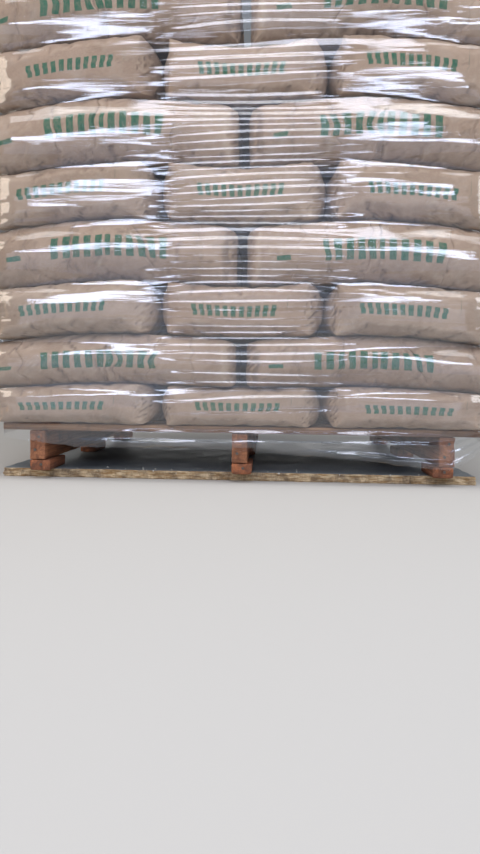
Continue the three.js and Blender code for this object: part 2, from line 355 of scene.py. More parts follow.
def make_ply_edge():
    """Cut edge of softwood ply: pale plies broken into short fibres, with brown glue lines and dirt."""
    material, tree = new_material("plywood_cut_edge")
    plies = object_noise(tree, 0.0045, (6, 6, 1), Distortion=0.5)
    fibres = object_noise(tree, 0.003, (1, 1, 7))
    dirt = object_noise(tree, 0.045, Detail=6.0, Roughness=0.72)
    coats = (
        (plies, 0.38, 0.62, 0, 1, "#cdb795"),
        (fibres, 0.50, 0.70, 0, 0.5, "#775b3e"),
        (dirt, 0.46, 0.64, 0, 0.85, "#5c4c3d"),
    )
    return surfaced(material, "#94764f", coats, 0.82, ((plies, 0.002, 0.6), (fibres, 0.001, 0.5)))


def make_ply_face():
    """Film-faced ply: a dark blue-grey phenolic skin under a coat of cement dust."""
    material, tree = new_material("dusty_phenolic_face")
    dust = object_noise(tree, 0.09, Detail=6.0, Roughness=0.7)
    specks = object_noise(tree, 0.006, Detail=2.0, Roughness=0.6)
    coats = (
        (dust, 0.38, 0.70, 0, 1, "#8f979c"),
        (specks, 0.66, 0.74, 0, 0.6, "#b4b7b7"),
    )
    return surfaced(material, "#626b72", coats, (dust, 0.35, 0.7, 0.45, 0.8), ((dust, 0.001, 0.4),))


FACING_GLOSS = 0.055  # share of the film that mirrors, seen straight on
GRAZING_GLOSS = 0.555


def make_stretch_film():
    """Several turns of clear polyethylene stretch film: glossy, and clear but for a blue-grey haze
    where it lies loose low on the load. Its fine draw lines run round the load."""
    material, tree = new_material("stretch_film")
    drawn = object_noise(tree, 0.007, (18, 18, 1))
    broad = object_noise(tree, 0.05, (6, 6, 1), Detail=2.0)
    relief = carve(tree, ((broad, 0.004, 0.30), (drawn, 0.0010, 0.30)))
    facing = add(tree, "ShaderNodeLayerWeight", {"Blend": 0.5, **relief}, "Facing")
    steep = add(tree, "ShaderNodeMath", {0: facing, 1: 5.0}, operation="POWER")
    gloss_share = add(tree, "ShaderNodeMapRange", {0: steep, 3: FACING_GLOSS, 4: GRAZING_GLOSS})
    mirrored = {"Color": linear("#f9fbff"), "Roughness": 0.09, **relief}
    gloss = add(tree, "ShaderNodeBsdfGlossy", mirrored)
    clear = add(tree, "ShaderNodeBsdfTransparent", {"Color": linear("#fdfdfd")})
    milk = add(tree, "ShaderNodeBsdfPrincipled", {"Base Color": linear("#b9c3d0"), "Roughness": 0.4})
    coords = add(tree, "ShaderNodeTexCoord", out="Object")
    height = add(tree, "ShaderNodeSeparateXYZ", {0: coords}, 2)
    low_down = add(tree, "ShaderNodeMapRange", {0: height, 1: 0.15, 2: 0.75, 3: 0.034, 4: 0.006})
    skirt = add(tree, "ShaderNodeMapRange", {0: height, 1: 0.140, 2: 0.165, 3: -0.016, 4: 0.0})
    loose = add(tree, "ShaderNodeMath", {0: low_down, 1: skirt}, operation="ADD")
    clouds = object_noise(tree, 0.14, (2, 2, 1), Detail=4.0)
    patchy = add(tree, "ShaderNodeMapRange", {0: clouds, 1: 0.3, 2: 0.7, 3: 0.5, 4: 1.4})
    haze = add(tree, "ShaderNodeMath", {0: loose, 1: patchy}, operation="MULTIPLY")
    body = add(tree, "ShaderNodeMixShader", {0: haze, 1: clear, 2: milk})
    shader = add(tree, "ShaderNodeMixShader", {0: gloss_share, 1: body, 2: gloss})
    add(tree, "ShaderNodeOutputMaterial", {"Surface": shader})
    return material


def make_plain(name, colour, metallic, roughness, patch):
    """A finish of one colour, duller and darker in patches about patch metres across."""
    material, tree = new_material(name)
    patches = object_noise(tree, patch, Detail=4.0)
    coats = ((patches, 0.4, 0.7, 0.0, 0.5, "#4a3a2e"),)
    return surfaced(material, colour, coats, roughness, Metallic=metallic)


kraft_paper = make_kraft_paper()
stretch_film = make_stretch_film()
ply_edge = make_ply_edge()
ply_face = make_ply_face()
wood_along_y = make_hardwood("sawn_hardwood_along_y", (1, 30, 1), "#a8704c", "#6d4430", "#4b3a31")
wood_along_x = make_hardwood("sawn_hardwood_along_x", (30, 1, 1), "#a5805e", "#6b4b36", "#4f4038")
wood_block = make_hardwood("sawn_hardwood_blocks", (1, 20, 1), "#a5643f", "#643c29", "#4a382e")
nail_steel = make_plain("bright_wire_nail_steel", "#6f6b66", 1.0, 0.45, 0.004)
spilt_cement = make_plain("spilt_cement_crumbs", "#cfcdc6", 0.0, 0.9, 0.01)


# Sacks


class SackForm:
    """A sack before it is fitted: where each point lies along, across and up it, its quads, and
    the shape that the cloth simulation gave it."""

    def __init__(self, kind, length_lines, seed, creases=()):
        width_lines, end_form, long_round, self.lean = kind
        height_lines = THICKNESS_LINES / HALF_THICKNESS - 1
        lines = (length_lines - HALF_LENGTH, width_lines - HALF_WIDTH, height_lines)
        points, self.quads, self.sides = box_lattice(lines)
        self.along, self.across, self.height = points.T.copy()
        self.seed = seed
        self.patch_half, self.ear_depth = end_form
        self.long_round, self.round_power = long_round
        self.points = self.shape(creases)
        self.points = self.press()

    def shape(self, creases):
        out, side, end_side = np.abs(self.across), np.sign(self.across), np.sign(self.along)
        from_end = HALF_LENGTH - np.abs(self.along)
        inner = HALF_WIDTH - self.long_round
        over = np.clip((out - inner) / self.long_round, 0, 1)
        up = np.abs(self.height)
        norm = (over**self.round_power + up**self.round_power) ** (1 / self.round_power)
        ratio = np.where(norm > 0, np.maximum(over, up) / np.maximum(norm, 1e-9), 1)
        y_round = side * (np.minimum(out, inner) + self.long_round * over * ratio)
        z_round = self.height * ratio
        y_square = self.across * self.patch_half / HALF_WIDTH + self.lean
        z_square = self.height * 0.97 - 0.01
        end = np.clip(1 - from_end / self.ear_depth, 0, 1) ** 1.6
        y = y_round + (y_square - y_round) * end
        z = z_round + (z_square - z_round) * end**0.8
        radius = np.where(self.height > 0, END_ROUND_TOP, END_ROUND_LOW)
        reach = np.clip(1 - from_end / radius, 0, 1)
        inset = radius * (1 - np.sqrt(1 - reach**2))
        z = z - inset / HALF_THICKNESS * self.height
        y = y - inset * self.across / HALF_WIDTH
        pillow = END_PILLOW * (1 - (self.across / HALF_WIDTH) ** 2) * (1 - self.height**2)
        x = self.along + end_side * (pillow * (from_end < 1e-6) - END_SET_BACK)
        points = np.stack([x, y, HALF_THICKNESS * (1 + z)], axis=1)
        ear = smooth(0, 0.3, end) * smooth(0.80, 0.92, out / HALF_WIDTH)
        ear *= (from_end > 1e-6) * smooth(1.0, 0.8, up)
        deep_along, deep_across = EAR_WRINKLES
        points[:, 1] -= side * ear * deep_across * crumple(points, 0.026, self.seed + 40)
        points[:, 0] -= end_side * ear * deep_along * crumple(points, 0.020, self.seed + 45)
        return self.crease(points, creases)

    def crease(self, points, creases):
        """Presses each crease, given as (place along, slope, depth), into both long sides, after
        the mesh's own lines are bent to follow it."""
        on_side = smooth(0.5, 1.0, np.abs(self.across) / HALF_WIDTH)
        for number, (place, slope, depth) in enumerate(creases):
            stray = waves(self.height[:, None], 0.9, self.seed + 50 + number) * CREASE_STRAY
            bent = slope * self.height + stray
            off = self.along - place
            points[:, 0] += bent * np.exp(-((off / BEND_HALF) ** 2)) * on_side
            fade = smooth(-1.0, -0.3, self.height) * (0.4 + 0.6 * smooth(-0.2, 1.0, self.height))
            groove = depth * np.exp(-((off / CREASE_HALF) ** 2)) * fade * on_side
            swell = 0.4 * depth * np.exp(-(((off - SWELL_OFF) / SWELL_HALF) ** 2)) * fade * on_side
            points[:, 1] -= np.sign(self.across) * (groove - swell)
        return points

    def press(self):
        """Fills the sack by cloth simulation: its pressed top and underside stay put, and the paper
        between them bulges and wrinkles."""
        shake = [waves(self.points, 0.05, self.seed + k) * SHAKE for k in range(3)]
        start = self.points + np.stack(shake, axis=1)
        piece = add_mesh("pressed_sack", start, self.quads)
        inner = HALF_WIDTH - self.long_round * 0.9
        flat = (np.abs(self.height) > 0.999) & (np.abs(self.across) < inner)
        flat &= np.abs(self.along) < HALF_LENGTH - FREE_END
        group = piece.vertex_groups.new(name="pressed")
        group.add(np.nonzero(flat)[0].tolist(), 1.0, "REPLACE")
        modifier = piece.modifiers.new("filling", "CLOTH")
        for name, value in PAPER_CLOTH.items():
            setattr(modifier.settings, name, value)
        modifier.settings.effector_weights.gravity = 0
        modifier.collision_settings.use_collision = False
        modifier.point_cache.frame_end = PRESS_FRAMES
        for number in range(1, PRESS_FRAMES + 1):
            scene.frame_set(number)
        shape = piece.evaluated_get(bpy.context.evaluated_depsgraph_get()).data
        shift = mesh_points(shape).astype(float) - self.points
        scene.frame_set(1)
        mesh = piece.data
        bpy.data.objects.remove(piece)
        bpy.data.meshes.remove(mesh)
        length = np.linalg.norm(shift, axis=1, keepdims=True)
        return self.points + shift * np.minimum(1, PRESS_CAP / np.maximum(length, 1e-9))


PRESS_FRAMES = 14
PRESS_CAP = 0.012  # the furthest that any point may move
FREE_END = 0.06  # the length at each end that isn't held
SHAKE = 0.0008  # unevenness that the wrinkles start from
PAPER_CLOTH = {
    "quality": 6,
    "mass": 0.12,
    "tension_stiffness": 40,
    "compression_stiffness": 40,
    "shear_stiffness": 15,
    "bending_stiffness": 1.2,
    "shrink_min": -0.022,
    "vertex_group_mass": "pressed",
    "use_pressure": True,
    "uniform_pressure_force": 5,
}

HEADER_LENGTH_LINES = steps(
    (0.003, 0.0015), (0.012, 0.0045), (0.10, 0.008), (0.55, 0.018), (0.636, 0.0107), (0.647, 0.0055)
)
STRETCHER_LENGTH_LINES = steps(
    (0.003, 0.0015), (0.012, 0.0045), (0.635, 0.0085), (0.644, 0.0045), (0.647, 0.0015)
)
THICKNESS_LINES = steps((0.010, 0.0035), (0.130, 0.0082), (0.140, 0.0035))
# Creases across a stretcher's face: place along, slope and depth
STRETCHER_CREASES = (
    ((-0.20, 0.010, 0.004), (-0.13, -0.006, 0.003), (-0.03, 0.004, 0.004), (0.17, 0.008, 0.002)),
    ((-0.22, -0.008, 0.002), (0.03, 0.006, 0.003), (0.12, 0.014, 0.004), (0.22, -0.004, 0.004)),
    ((-0.10, 0.030, 0.004), (-0.24, 0.004, 0.003), (0.09, -0.006, 0.003), (0.20, 0.010, 0.003)),
)
CREASE_LINES = np.array((-0.0075, -0.004, -0.0018, 0, 0.0018, 0.004, 0.0075))
CREASE_HALF = 0.0032  # half its width
CREASE_STRAY = 0.006
BEND_HALF = 0.03
SWELL_OFF = 0.012  # the paper swells this far beside a crease
SWELL_HALF = 0.008


def lines_with_creases(lines, creases):
    """Sets fine lines about each crease, in the place of the ordinary ones there."""
    for place, _, _ in creases:
        middle = place + HALF_LENGTH
        away = np.abs(lines - middle) > CREASE_LINES[-1] + 0.002
        lines = np.sort(np.concatenate([lines[away], middle + CREASE_LINES]))
    return lines


# Each kind: its lattice lines across, its ends, its rounding and its lean
HEADER_LINES = steps(
    (0.018, 0.006), (0.022, 0.002), (0.050, 0.007), (0.361, 0.0097), (0.389, 0.007), (0.393, 0.002),
    (0.411, 0.006),
)
HEADER = (HEADER_LINES, HEADER_END, HEADER_ROUND, PATCH_LEAN)
STRETCHER_LINES = steps((0.050, 0.0065), (0.11, 0.010), (0.361, 0.025), (0.411, 0.010))
STRETCHER = (STRETCHER_LINES, STRETCHER_END, STRETCHER_ROUND, 0)
header_forms = [SackForm(HEADER, HEADER_LENGTH_LINES, 10 * k) for k in range(3)]
stretcher_forms = [
    SackForm(STRETCHER, lines_with_creases(STRETCHER_LENGTH_LINES, creases), 100 + 10 * k, creases)
    for k, creases in enumerate(STRETCHER_CREASES)
]


EDGE_MARGIN = 0.054  # the rounded edge that the samples keep clear of
DENTS = 0.0026  # depth of the paper's dents over the lumps of its fill
RIPPLES = 0.0005


def surface_heights(node, box):
    """Samples a CAD sack's underside and top on a grid, clear of its rounded edges."""
    low, high = box
    tree = ray_tree([node])
    xs = np.linspace(low.x + EDGE_MARGIN, high.x - EDGE_MARGIN, 13)
    ys = np.linspace(low.y + EDGE_MARGIN, high.y - EDGE_MARGIN, 13)
    under, top = (
        np.array([[tree.ray_cast((x, y, start), (0, 0, way))[0].z for y in ys] for x in xs])
        for start, way in ((low.z - 1, 1), (high.z + 1, -1))
    )
    return xs, ys, under, top


def read_grid(xs, ys, grid, x, y):
    """Reads a grid between its points, and straight on past its edges."""
    u = (x - xs[0]) / (xs[1] - xs[0])
    v = (y - ys[0]) / (ys[1] - ys[0])
    i = np.clip(np.floor(u).astype(int), 0, len(xs) - 2)
    j = np.clip(np.floor(v).astype(int), 0, len(ys) - 2)
    u, v = u - i, v - j
    low = grid[i, j] * (1 - u) + grid[i + 1, j] * u
    high = grid[i, j + 1] * (1 - u) + grid[i + 1, j + 1] * u
    return low * (1 - v) + high * v


def fit_sack(form, name, turn, mirror, seed):
    """Sets a sack form into its CAD node's place, between the node's own underside and top."""
    rng = np.random.default_rng(seed)
    low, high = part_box(name)
    xs, ys, under, top = surface_heights(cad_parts[name], (low, high))
    shape = form.points.copy()
    layer, kind, place = name.split("_")[1:]
    lengthways = kind == "header"
    set_back = lengthways and (place == "middle" or layer in RECESSED_LAYERS)
    shape[:, 0] *= 1 + rng.uniform(-0.004, 0.0) - RECESS * set_back
    if mirror:
        shape[:, 0] *= -1
    wide, deep = high.x - low.x, high.y - low.y
    centre = (low + high) / 2
    if lengthways:
        x = centre.x - turn * shape[:, 1] * wide / SACK_WIDTH
        y = centre.y + turn * shape[:, 0] * deep / SACK_LENGTH
    else:
        x = centre.x + turn * shape[:, 0] * wide / SACK_LENGTH
        y = centre.y + turn * shape[:, 1] * deep / SACK_WIDTH
    share = np.clip(shape[:, 2] / SACK_THICKNESS, 0.0, 1.0)
    z_low = read_grid(xs, ys, under, x, y)
    z_high = read_grid(xs, ys, top, x, y)
    if lengthways:
        sides = {"left": (0, 1), "middle": (-1, 1), "right": (-1, 0)}[place]
        face_y = low.y if low.y < -0.5 else high.y
        near = 1 - smooth(0, SEAM_DEPTH, np.abs(y - face_y))
        for side in sides:
            toward = np.clip(side * (x - centre.x) / (wide / 2), 0, 1)
            x = x - side * SEAM_GAP * toward**2 * near
    else:
        x = np.sign(centre.x) * (SACK_LENGTH - (SACK_LENGTH - np.abs(x)) * (1 - END_GAP / SACK_LENGTH))
        from_seam, from_outside = np.abs(x), SACK_LENGTH - np.abs(x)
        thin = INNER_DROP * (1 - np.clip(from_seam / DROP_LENGTH, 0, 1)) ** 2
        thin += OUTER_DROP * (1 - np.clip(from_outside / DROP_LENGTH, 0, 1)) ** 2
        z_high = z_high - thin * (z_high - z_low)
    z = z_low + share * (z_high - z_low)
    points = np.stack([x, y, z], axis=1)
    _, normals = hollows(points, form.quads)
    free = smooth(0.0, 0.12, np.minimum(share, 1 - share))
    lumps = (crumple(points, 0.085, seed) - 0.45) * DENTS + waves(points, 0.022, seed + 3) * RIPPLES
    points += normals * (lumps * free)[:, None]
    quads = form.quads[:, ::-1] if mirror else form.quads
    piece = add_mesh(f"paper_{name}", points, quads, kraft_paper)
    tone = np.full(len(points), rng.uniform(0.0, 0.35))
    # The hollow depth also drives the painted shade in the paper's creases and hollows
    for kept, values in (("hollow", hollows(points, form.quads)[0]), ("tone", tone)):
        layer = piece.data.attributes.new(kept, "FLOAT", "POINT")
        layer.data.foreach_set("value", values.astype(np.float32))
    add_print(piece, form, quads, lengthways, mirror, rng)
    stand_in(piece, name)
    return piece


def add_print(piece, form, quads, lengthways, mirror, rng):
    """Gives the sack's outward face the print's own coordinates: 0 to 1 along and up the row."""
    length, height = HEADER_PRINT if lengthways else STRETCHER_PRINT
    along = -form.across if lengthways else form.along * (-1 if mirror else 1)
    shift = rng.uniform(-0.016, 0.016)
    drop = rng.uniform(-0.006, 0.004)
    u = (along + shift) / length + 0.5
    v = (form.height * HALF_THICKNESS + drop) / height + 0.5
    loops = quads.reshape(-1)
    printed = np.repeat(form.sides == (0 if lengthways else 2), 4)
    printed &= (np.abs(u[loops] - 0.5) < 0.6) | (not lengthways)
    coords = np.where(printed[:, None], np.stack([u[loops], v[loops]], axis=1), NO_PRINT)
    layer = piece.data.uv_layers.new(name="print")
    layer.data.foreach_set("uv", coords.reshape(-1).astype(np.float32))


def lay_sacks():
    """Each layer has three headers end-on to one face and two stretchers along the other."""
    sacks = []
    for layer in range(1, LAYERS + 1):
        turn = 1 if layer % 2 else -1
        for place, side in enumerate(("left", "middle", "right")):
            form = header_forms[(layer + place) % len(header_forms)]
            name, seed = f"sack_{layer}_header_{side}", 1000 + 10 * layer + place
            sacks.append(fit_sack(form, name, turn, False, seed))
        for place, side in enumerate(("left", "right")):
            choice = layer // 2 + place
            form = stretcher_forms[choice % len(stretcher_forms)]
            name, seed = f"sack_{layer}_stretcher_{side}", 2000 + 10 * layer + place
            sacks.append(fit_sack(form, name, -turn, choice % 2 == 0, seed))
    return sacks


sacks = lay_sacks()


# Pallet and the board under it

WOOD_EDGE = 0.0022  # how round the edges are sawn, and how much rounder wear makes them
WOOD_WEAR = 0.0016
WOOD_CHIPS = 0.006
SAW_RIPPLE = 0.0004
SHEET_SEAM_X = 0.435  # where two lengths of ply meet


def piece_lines(low, high, spacing, extra=()):
    """Lattice lines from low to high, close together at both rounded edges."""
    edge = 0.0025
    inner = steps((edge, edge), (high - low - edge, spacing), (high - low, edge)) + low
    return np.unique(np.round(np.concatenate([inner, np.array(extra, dtype=float)]), 6))


def sawn_piece(node, material, spacing, seed, round_low=0.0):
    """A sawn piece of wood in its CAD node's place, with worn edges, saw ripple and a few chips."""
    low, high = (np.array(corner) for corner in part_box(node))
    lines = [piece_lines(low[k], high[k], min(spacing, (high[k] - low[k]) / 4)) for k in range(3)]
    points, quads, _ = box_lattice(lines)
    radius = WOOD_EDGE + WOOD_WEAR * np.clip(waves(points, 0.06, seed), 0, 1)[:, None]
    inner = np.clip(points, low + radius, high - radius)
    off = points - inner
    length = np.linalg.norm(off, axis=1, keepdims=True)
    direction = off / np.maximum(length, 1e-9)
    points = inner + direction * np.minimum(length, radius)
    ripple = SAW_RIPPLE * (1 + waves(points, 0.018, seed + 1))
    ripple += 1.5 * SAW_RIPPLE * np.clip(waves(points, 0.05, seed + 2), 0, 1)
    at_edge = (np.abs(direction) > 0.2).sum(axis=1) > 1
    chips = np.clip(waves(points, 0.03, seed + 3) - 0.75, 0, 1) * WOOD_CHIPS * at_edge
    points -= direction * (np.clip(ripple, 0, 1) + chips)[:, None]
    if round_low:
        centre = (low + high) / 2
        out = np.abs(points[:, 0] - centre[0]) - ((high[0] - low[0]) / 2 - round_low)
        down = low[2] + round_low - points[:, 2]
        reach = np.hypot(np.maximum(out, 0), np.maximum(down, 0))
        shrink = np.where((out > 0) & (down > 0), np.minimum(1, round_low / np.maximum(reach, 1e-9)), 1)
        side = np.sign(points[:, 0] - centre[0])
        points[:, 0] -= side * out * (1 - shrink)
        points[:, 2] += down * (1 - shrink)
    return stand_in(add_mesh(f"sawn_{node}", points, quads, material), node)


def add_pallet():
    wood = []
    for number in range(1, 7):
        wood.append(sawn_piece(f"deck_board_{number}", wood_along_x, 0.03, 300 + number))
    for k, side in enumerate(("left", "middle", "right")):
        wood.append(sawn_piece(f"stringer_{side}", wood_along_y, 0.022, 320 + k))
        for j, place in enumerate(("front", "middle", "back")):
            block = f"block_{side}_{place}"
            wood.append(sawn_piece(block, wood_block, 0.009, 340 + 10 * k + j, round_low=0.008))
    return wood


def add_base_sheet():
    """The board under the blocks: a phenolic face, and cut edges broken along their plies."""
    low, high = (np.array(corner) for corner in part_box("base_sheet"))
    seam = (SHEET_SEAM_X - 0.0025, SHEET_SEAM_X, SHEET_SEAM_X + 0.0025)
    lines = [
        piece_lines(low[0], high[0], 0.011, seam),
        piece_lines(low[1], high[1], 0.016),
        np.linspace(low[2], high[2], 8),
    ]
    points, quads, sides = box_lattice(lines)
    plies = points * (1, 1, 3.5)
    broken = 0.0016 + 0.0022 * waves(plies, 0.024, 400) + 0.0030 * np.clip(waves(points, 0.11, 401), 0, 1)
    broken = np.clip(broken, 0, 0.008)
    for axis in (0, 1):
        for edge, inward in ((low[axis], 1), (high[axis], -1)):
            near = 1 - np.clip(np.abs(points[:, axis] - edge) / 0.02, 0, 1)
            points[:, axis] += inward * broken * near**3
    in_seam = (np.abs(points[:, 0] - SHEET_SEAM_X) < 0.001) & (points[:, 1] < low[1] + 0.03)
    points[in_seam, 1] += 0.009
    piece = add_mesh("ragged_base_sheet", points, quads, ply_edge)
    piece.data.materials.append(ply_face)
    piece.data.polygons.foreach_set("material_index", (sides >= 4).astype(np.int32))
    stand_in(piece, "base_sheet")


wood = add_pallet()
add_base_sheet()


# Nails and spilt cement

NAIL_HEAD = (0.0036, 0.0022)  # radius and thickness; the heads stand a little proud
NAILS_IN_STRINGER = ((-0.006, 0.025), (0.004, 0.058))  # from its middle, and above its underside
NAILS_IN_BLOCK = ((0.003, 0.016),)
CRUMB_STRIPS = ((-0.50, 0.10), (0.30, 0.14))  # where they begin in Y, and how wide they are
CRUMBS_PER_SQUARE_METRE = 260
CRUMB = (0.0006, 0.0026)  # the smallest and the largest, in radius


def grow(name, corners, faces, material, sizes, build):
    """Runs a Geometry Nodes tree over a mesh of places, and keeps what it makes as a plain mesh.
    The tree has an input for each of the sizes, and build gives its instances."""
    places = bpy.data.meshes.new(f"{name}_places")
    places.from_pydata(corners, [], faces)
    tree = bpy.data.node_groups.new(name, "GeometryNodeTree")
    tree.interface.new_socket("Geometry", in_out="OUTPUT", socket_type="NodeSocketGeometry")
    tree.interface.new_socket("Places", in_out="INPUT", socket_type="NodeSocketGeometry")
    sockets = {
        size: tree.interface.new_socket(size, in_out="INPUT", socket_type="NodeSocketFloat")
        for size in sizes
    }
    given = add(tree, "NodeGroupInput").node.outputs
    real = add(tree, "GeometryNodeRealizeInstances", {0: build(tree, given)})
    coated = add(tree, "GeometryNodeSetMaterial", {"Geometry": real, "Material": material})
    add(tree, "NodeGroupOutput", {0: coated})
    piece = add_object(name, places)
    modifier = piece.modifiers.new("grown", "NODES")
    modifier.node_group = tree
    for size, value in sizes.items():
        modifier[sockets[size].identifier] = value
    made = piece.evaluated_get(bpy.context.evaluated_depsgraph_get())
    mesh = bpy.data.meshes.new_from_object(made)
    piece.modifiers.remove(modifier)
    piece.data = mesh
    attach(piece, "root")


def nail_heads(tree, given):
    """A low drum on each place, its axis along Y."""
    head = {"Vertices": 12, "Radius": given["Head Radius"], "Depth": given["Head Thickness"]}
    drum = add(tree, "GeometryNodeMeshCylinder", head)
    inputs = {"Points": given["Places"], "Instance": drum, "Rotation": (math.pi / 2, 0, 0)}
    return add(tree, "GeometryNodeInstanceOnPoints", inputs)


def crumbs(tree, given):
    """Rough grains scattered over the faces, with a fixed seed."""
    spread = {"Mesh": given["Places"], "Density": given["Density"], "Seed": 7}
    spots = add(tree, "GeometryNodeDistributePointsOnFaces", spread)
    grain = add(tree, "GeometryNodeMeshIcoSphere", {"Radius": 1.0, "Subdivisions": 1})
    varied = {2: given["Smallest"], 3: given["Largest"], "Seed": 8}
    size = add(tree, "FunctionNodeRandomValue", varied, 1, data_type="FLOAT")
    turned = {0: (0, 0, 0), 1: (math.tau, math.tau, math.tau), "Seed": 9}
    turn = add(tree, "FunctionNodeRandomValue", turned, 0, data_type="FLOAT_VECTOR")
    inputs = {"Points": spots, "Instance": grain, "Scale": size, "Rotation": turn}
    return add(tree, "GeometryNodeInstanceOnPoints", inputs)


def add_nails():
    """Nail heads in the front and back ends of the stringers and blocks."""
    places = []
    for side in ("left", "middle", "right"):
        ends = (
            (f"stringer_{side}", NAILS_IN_STRINGER, (0, 1)),
            (f"block_{side}_front", NAILS_IN_BLOCK, (0,)),
            (f"block_{side}_back", NAILS_IN_BLOCK, (1,)),
        )
        for node, nails, faces in ends:
            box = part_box(node)
            middle = (box[0].x + box[1].x) / 2
            places += [(middle + dx, box[face].y, box[0].z + up) for dx, up in nails for face in faces]
    sizes = {"Head Radius": NAIL_HEAD[0], "Head Thickness": NAIL_HEAD[1]}
    grow("nail_heads", places, [], nail_steel, sizes, nail_heads)


def add_crumbs():
    """Cement that has run out of a sack and lies on the board, in the fork tunnels."""
    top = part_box("base_sheet")[1].z + 0.0008
    corners, faces = [], []
    for start, width in CRUMB_STRIPS:
        for x0, x1 in ((-0.47, -0.05), (0.05, 0.47)):
            faces.append(tuple(range(len(corners), len(corners) + 4)))
            y0, y1 = start, start + width
            corners += [(x0, y0, top), (x1, y0, top), (x1, y1, top), (x0, y1, top)]
    sizes = {"Density": CRUMBS_PER_SQUARE_METRE, "Smallest": CRUMB[0], "Largest": CRUMB[1]}
    grow("cement_crumbs", corners, faces, spilt_cement, sizes, crumbs)


add_nails()
add_crumbs()


# Stretch film

# Pleats across the middle of the front: heights, the number of pleats up to each, and how deep
# they are low, halfway and high on the load
PLEAT_HEIGHTS = (0.15, 0.30, 0.64, 0.93, 1.07, 1.24)
PLEAT_NUMBERS = (0, 6, 25, 43, 48, 55)
PLEAT_DEPTHS = (0.0046, 0.0034, 0.0026)
OTHER_PLEATS = 0.7  # share of that depth on the back and the sides

SKIRT_FOLD = (0.0120, 0.0090)  # height, and half its width
SKIRT_GATHER = 0.0075

FILM_HALF_X = 0.648
FILM_HALF_Y = 0.530
FILM_CORE = 0.13  # the film is measured outwards from a core this far inside the load's faces
FILM_GAUGE = 0.0003  # drawn thicker than the real film's few turns
FILM_CLEAR = 0.0008
CORNER_REACH = 0.042
PULL_ROUND = 0.55  # share of the film's pull that goes round the load, and the rest is upright
FILM_CORNER = 7  # columns of the film's mesh round each corner
SKIRT_ROWS = 32  # rows of the film's mesh below the first layer
WRAP_ROWS = 330
ROLL_ROWS = 7
ROLL_DROP = 0.040  # the film starts to roll over the top edge this far below it
ROLL_REACH = 0.050
LIP_ROWS = 6
LIP = 0.040  # how far it then laps in over the top, more or less
DECK_TOP = 0.143
# Height of the lower edge across the front: it hangs lowest at the right stringer
HEM_FRONT_X = (-0.60, -0.545, -0.43, 0, 0.30, 0.43, 0.545, 0.60)
HEM_FRONT_Z = (0.112, 0.100, 0.086, 0.084, 0.064, 0.050, 0.042, 0.108)
HEM_SIDE = 0.116
HEM_BACK = 0.086


def film_columns():
    """Origins on the film's core and directions outward, anticlockwise from the front left."""
    core_x, core_y = FILM_HALF_X - FILM_CORE, FILM_HALF_Y - FILM_CORE
    origins, outward = [], []
    long_run, short_run = 2 * core_x, 2 * core_y
    runs = ((-90, long_run, 0.026), (0, short_run, 0.050), (90, long_run, 0.045), (180, short_run, 0.050))
    corners = ((core_x, -core_y), (core_x, core_y), (-core_x, core_y), (-core_x, -core_y))
    for (angle, length, spacing), corner in zip(runs, corners):
        facing = math.radians(angle)
        forward = np.array([-math.sin(facing), math.cos(facing)])
        count = round(length / spacing)
        origins += [corner - forward * length * (1 - k / count) for k in range(count)]
        origins += [corner] * FILM_CORNER
        bends = [facing + math.pi / 2 * k / FILM_CORNER for k in range(FILM_CORNER)]
        outward += [(math.cos(bend), math.sin(bend)) for bend in [facing] * count + bends]
    return np.array(origins), np.array(outward)


def reach_of_load(tree, origins, outward, heights):
    """How far the load reaches outwards at each column and height: the furthest of five rays from
    halfway to the column before to halfway to the one after."""
    reach = np.zeros(heights.shape)
    for share in (-0.5, -0.25, 0, 0.25, 0.5):
        turned = -1 if share > 0 else 1
        near, out = (
            (1 - abs(share)) * rows + abs(share) * np.roll(rows, turned, axis=0)
            for rows in (origins, outward)
        )
        out /= np.linalg.norm(out, axis=1, keepdims=True)
        start = near + out * 0.4
        for c in range(len(origins)):
            x, y = start[c]
            back = (-out[c, 0], -out[c, 1], 0)
            for r, z in enumerate(heights[:, c]):
                hit = tree.ray_cast((x, y, z), back, 0.4)
                if hit[0] is not None:
                    reach[r, c] = max(reach[r, c], 0.4 - hit[3])
    return reach


def height_of_load(tree, spots):
    """The load's height at each spot, from the highest of the rays about it, so that a film laid at
    that height spans the seams."""
    heights = np.zeros(len(spots))
    for dx, dy in ((0, 0), (0.014, 0), (-0.014, 0), (0, 0.014), (0, -0.014)):
        for k, (x, y) in enumerate(spots):
            hit = tree.ray_cast((x + dx, y + dy, 2), (0, 0, -1))
            if hit[0] is not None:
                heights[k] = max(heights[k], hit[0].z)
    return heights


def span_dips(heights, rounds):
    """Raises what lies below the line between its neighbours, as a taut film does."""
    for _ in range(rounds):
        heights = np.maximum(heights, (np.roll(heights, 1) + np.roll(heights, -1)) / 2)
    return heights


def cross_flat(a, b):
    return a[..., 0] * b[..., 1] - a[..., 1] * b[..., 0]


def stretch(reach, origins, outward, rounds=500):
    """Lets a film shrink onto the load from outside it: each point goes towards the straight lines
    between its neighbours, but never inside the load. The lower edge is held to the pallet."""
    turned = np.abs(outward).max(axis=1)
    film = np.maximum(reach, np.minimum(FILM_CORE / turned, FILM_CORE + CORNER_REACH))
    for _ in range(rounds):
        places = origins + outward * film[..., None]
        before, after = np.roll(places, 1, axis=1), np.roll(places, -1, axis=1)
        chord = after - before
        level = cross_flat(before - origins, chord) / cross_flat(outward, chord)
        padded = np.concatenate([reach[:1], film, film[-1:]])
        upright = (padded[:-2] + padded[2:]) / 2
        film = np.maximum(reach, PULL_ROUND * level + (1 - PULL_ROUND) * upright)
    return film


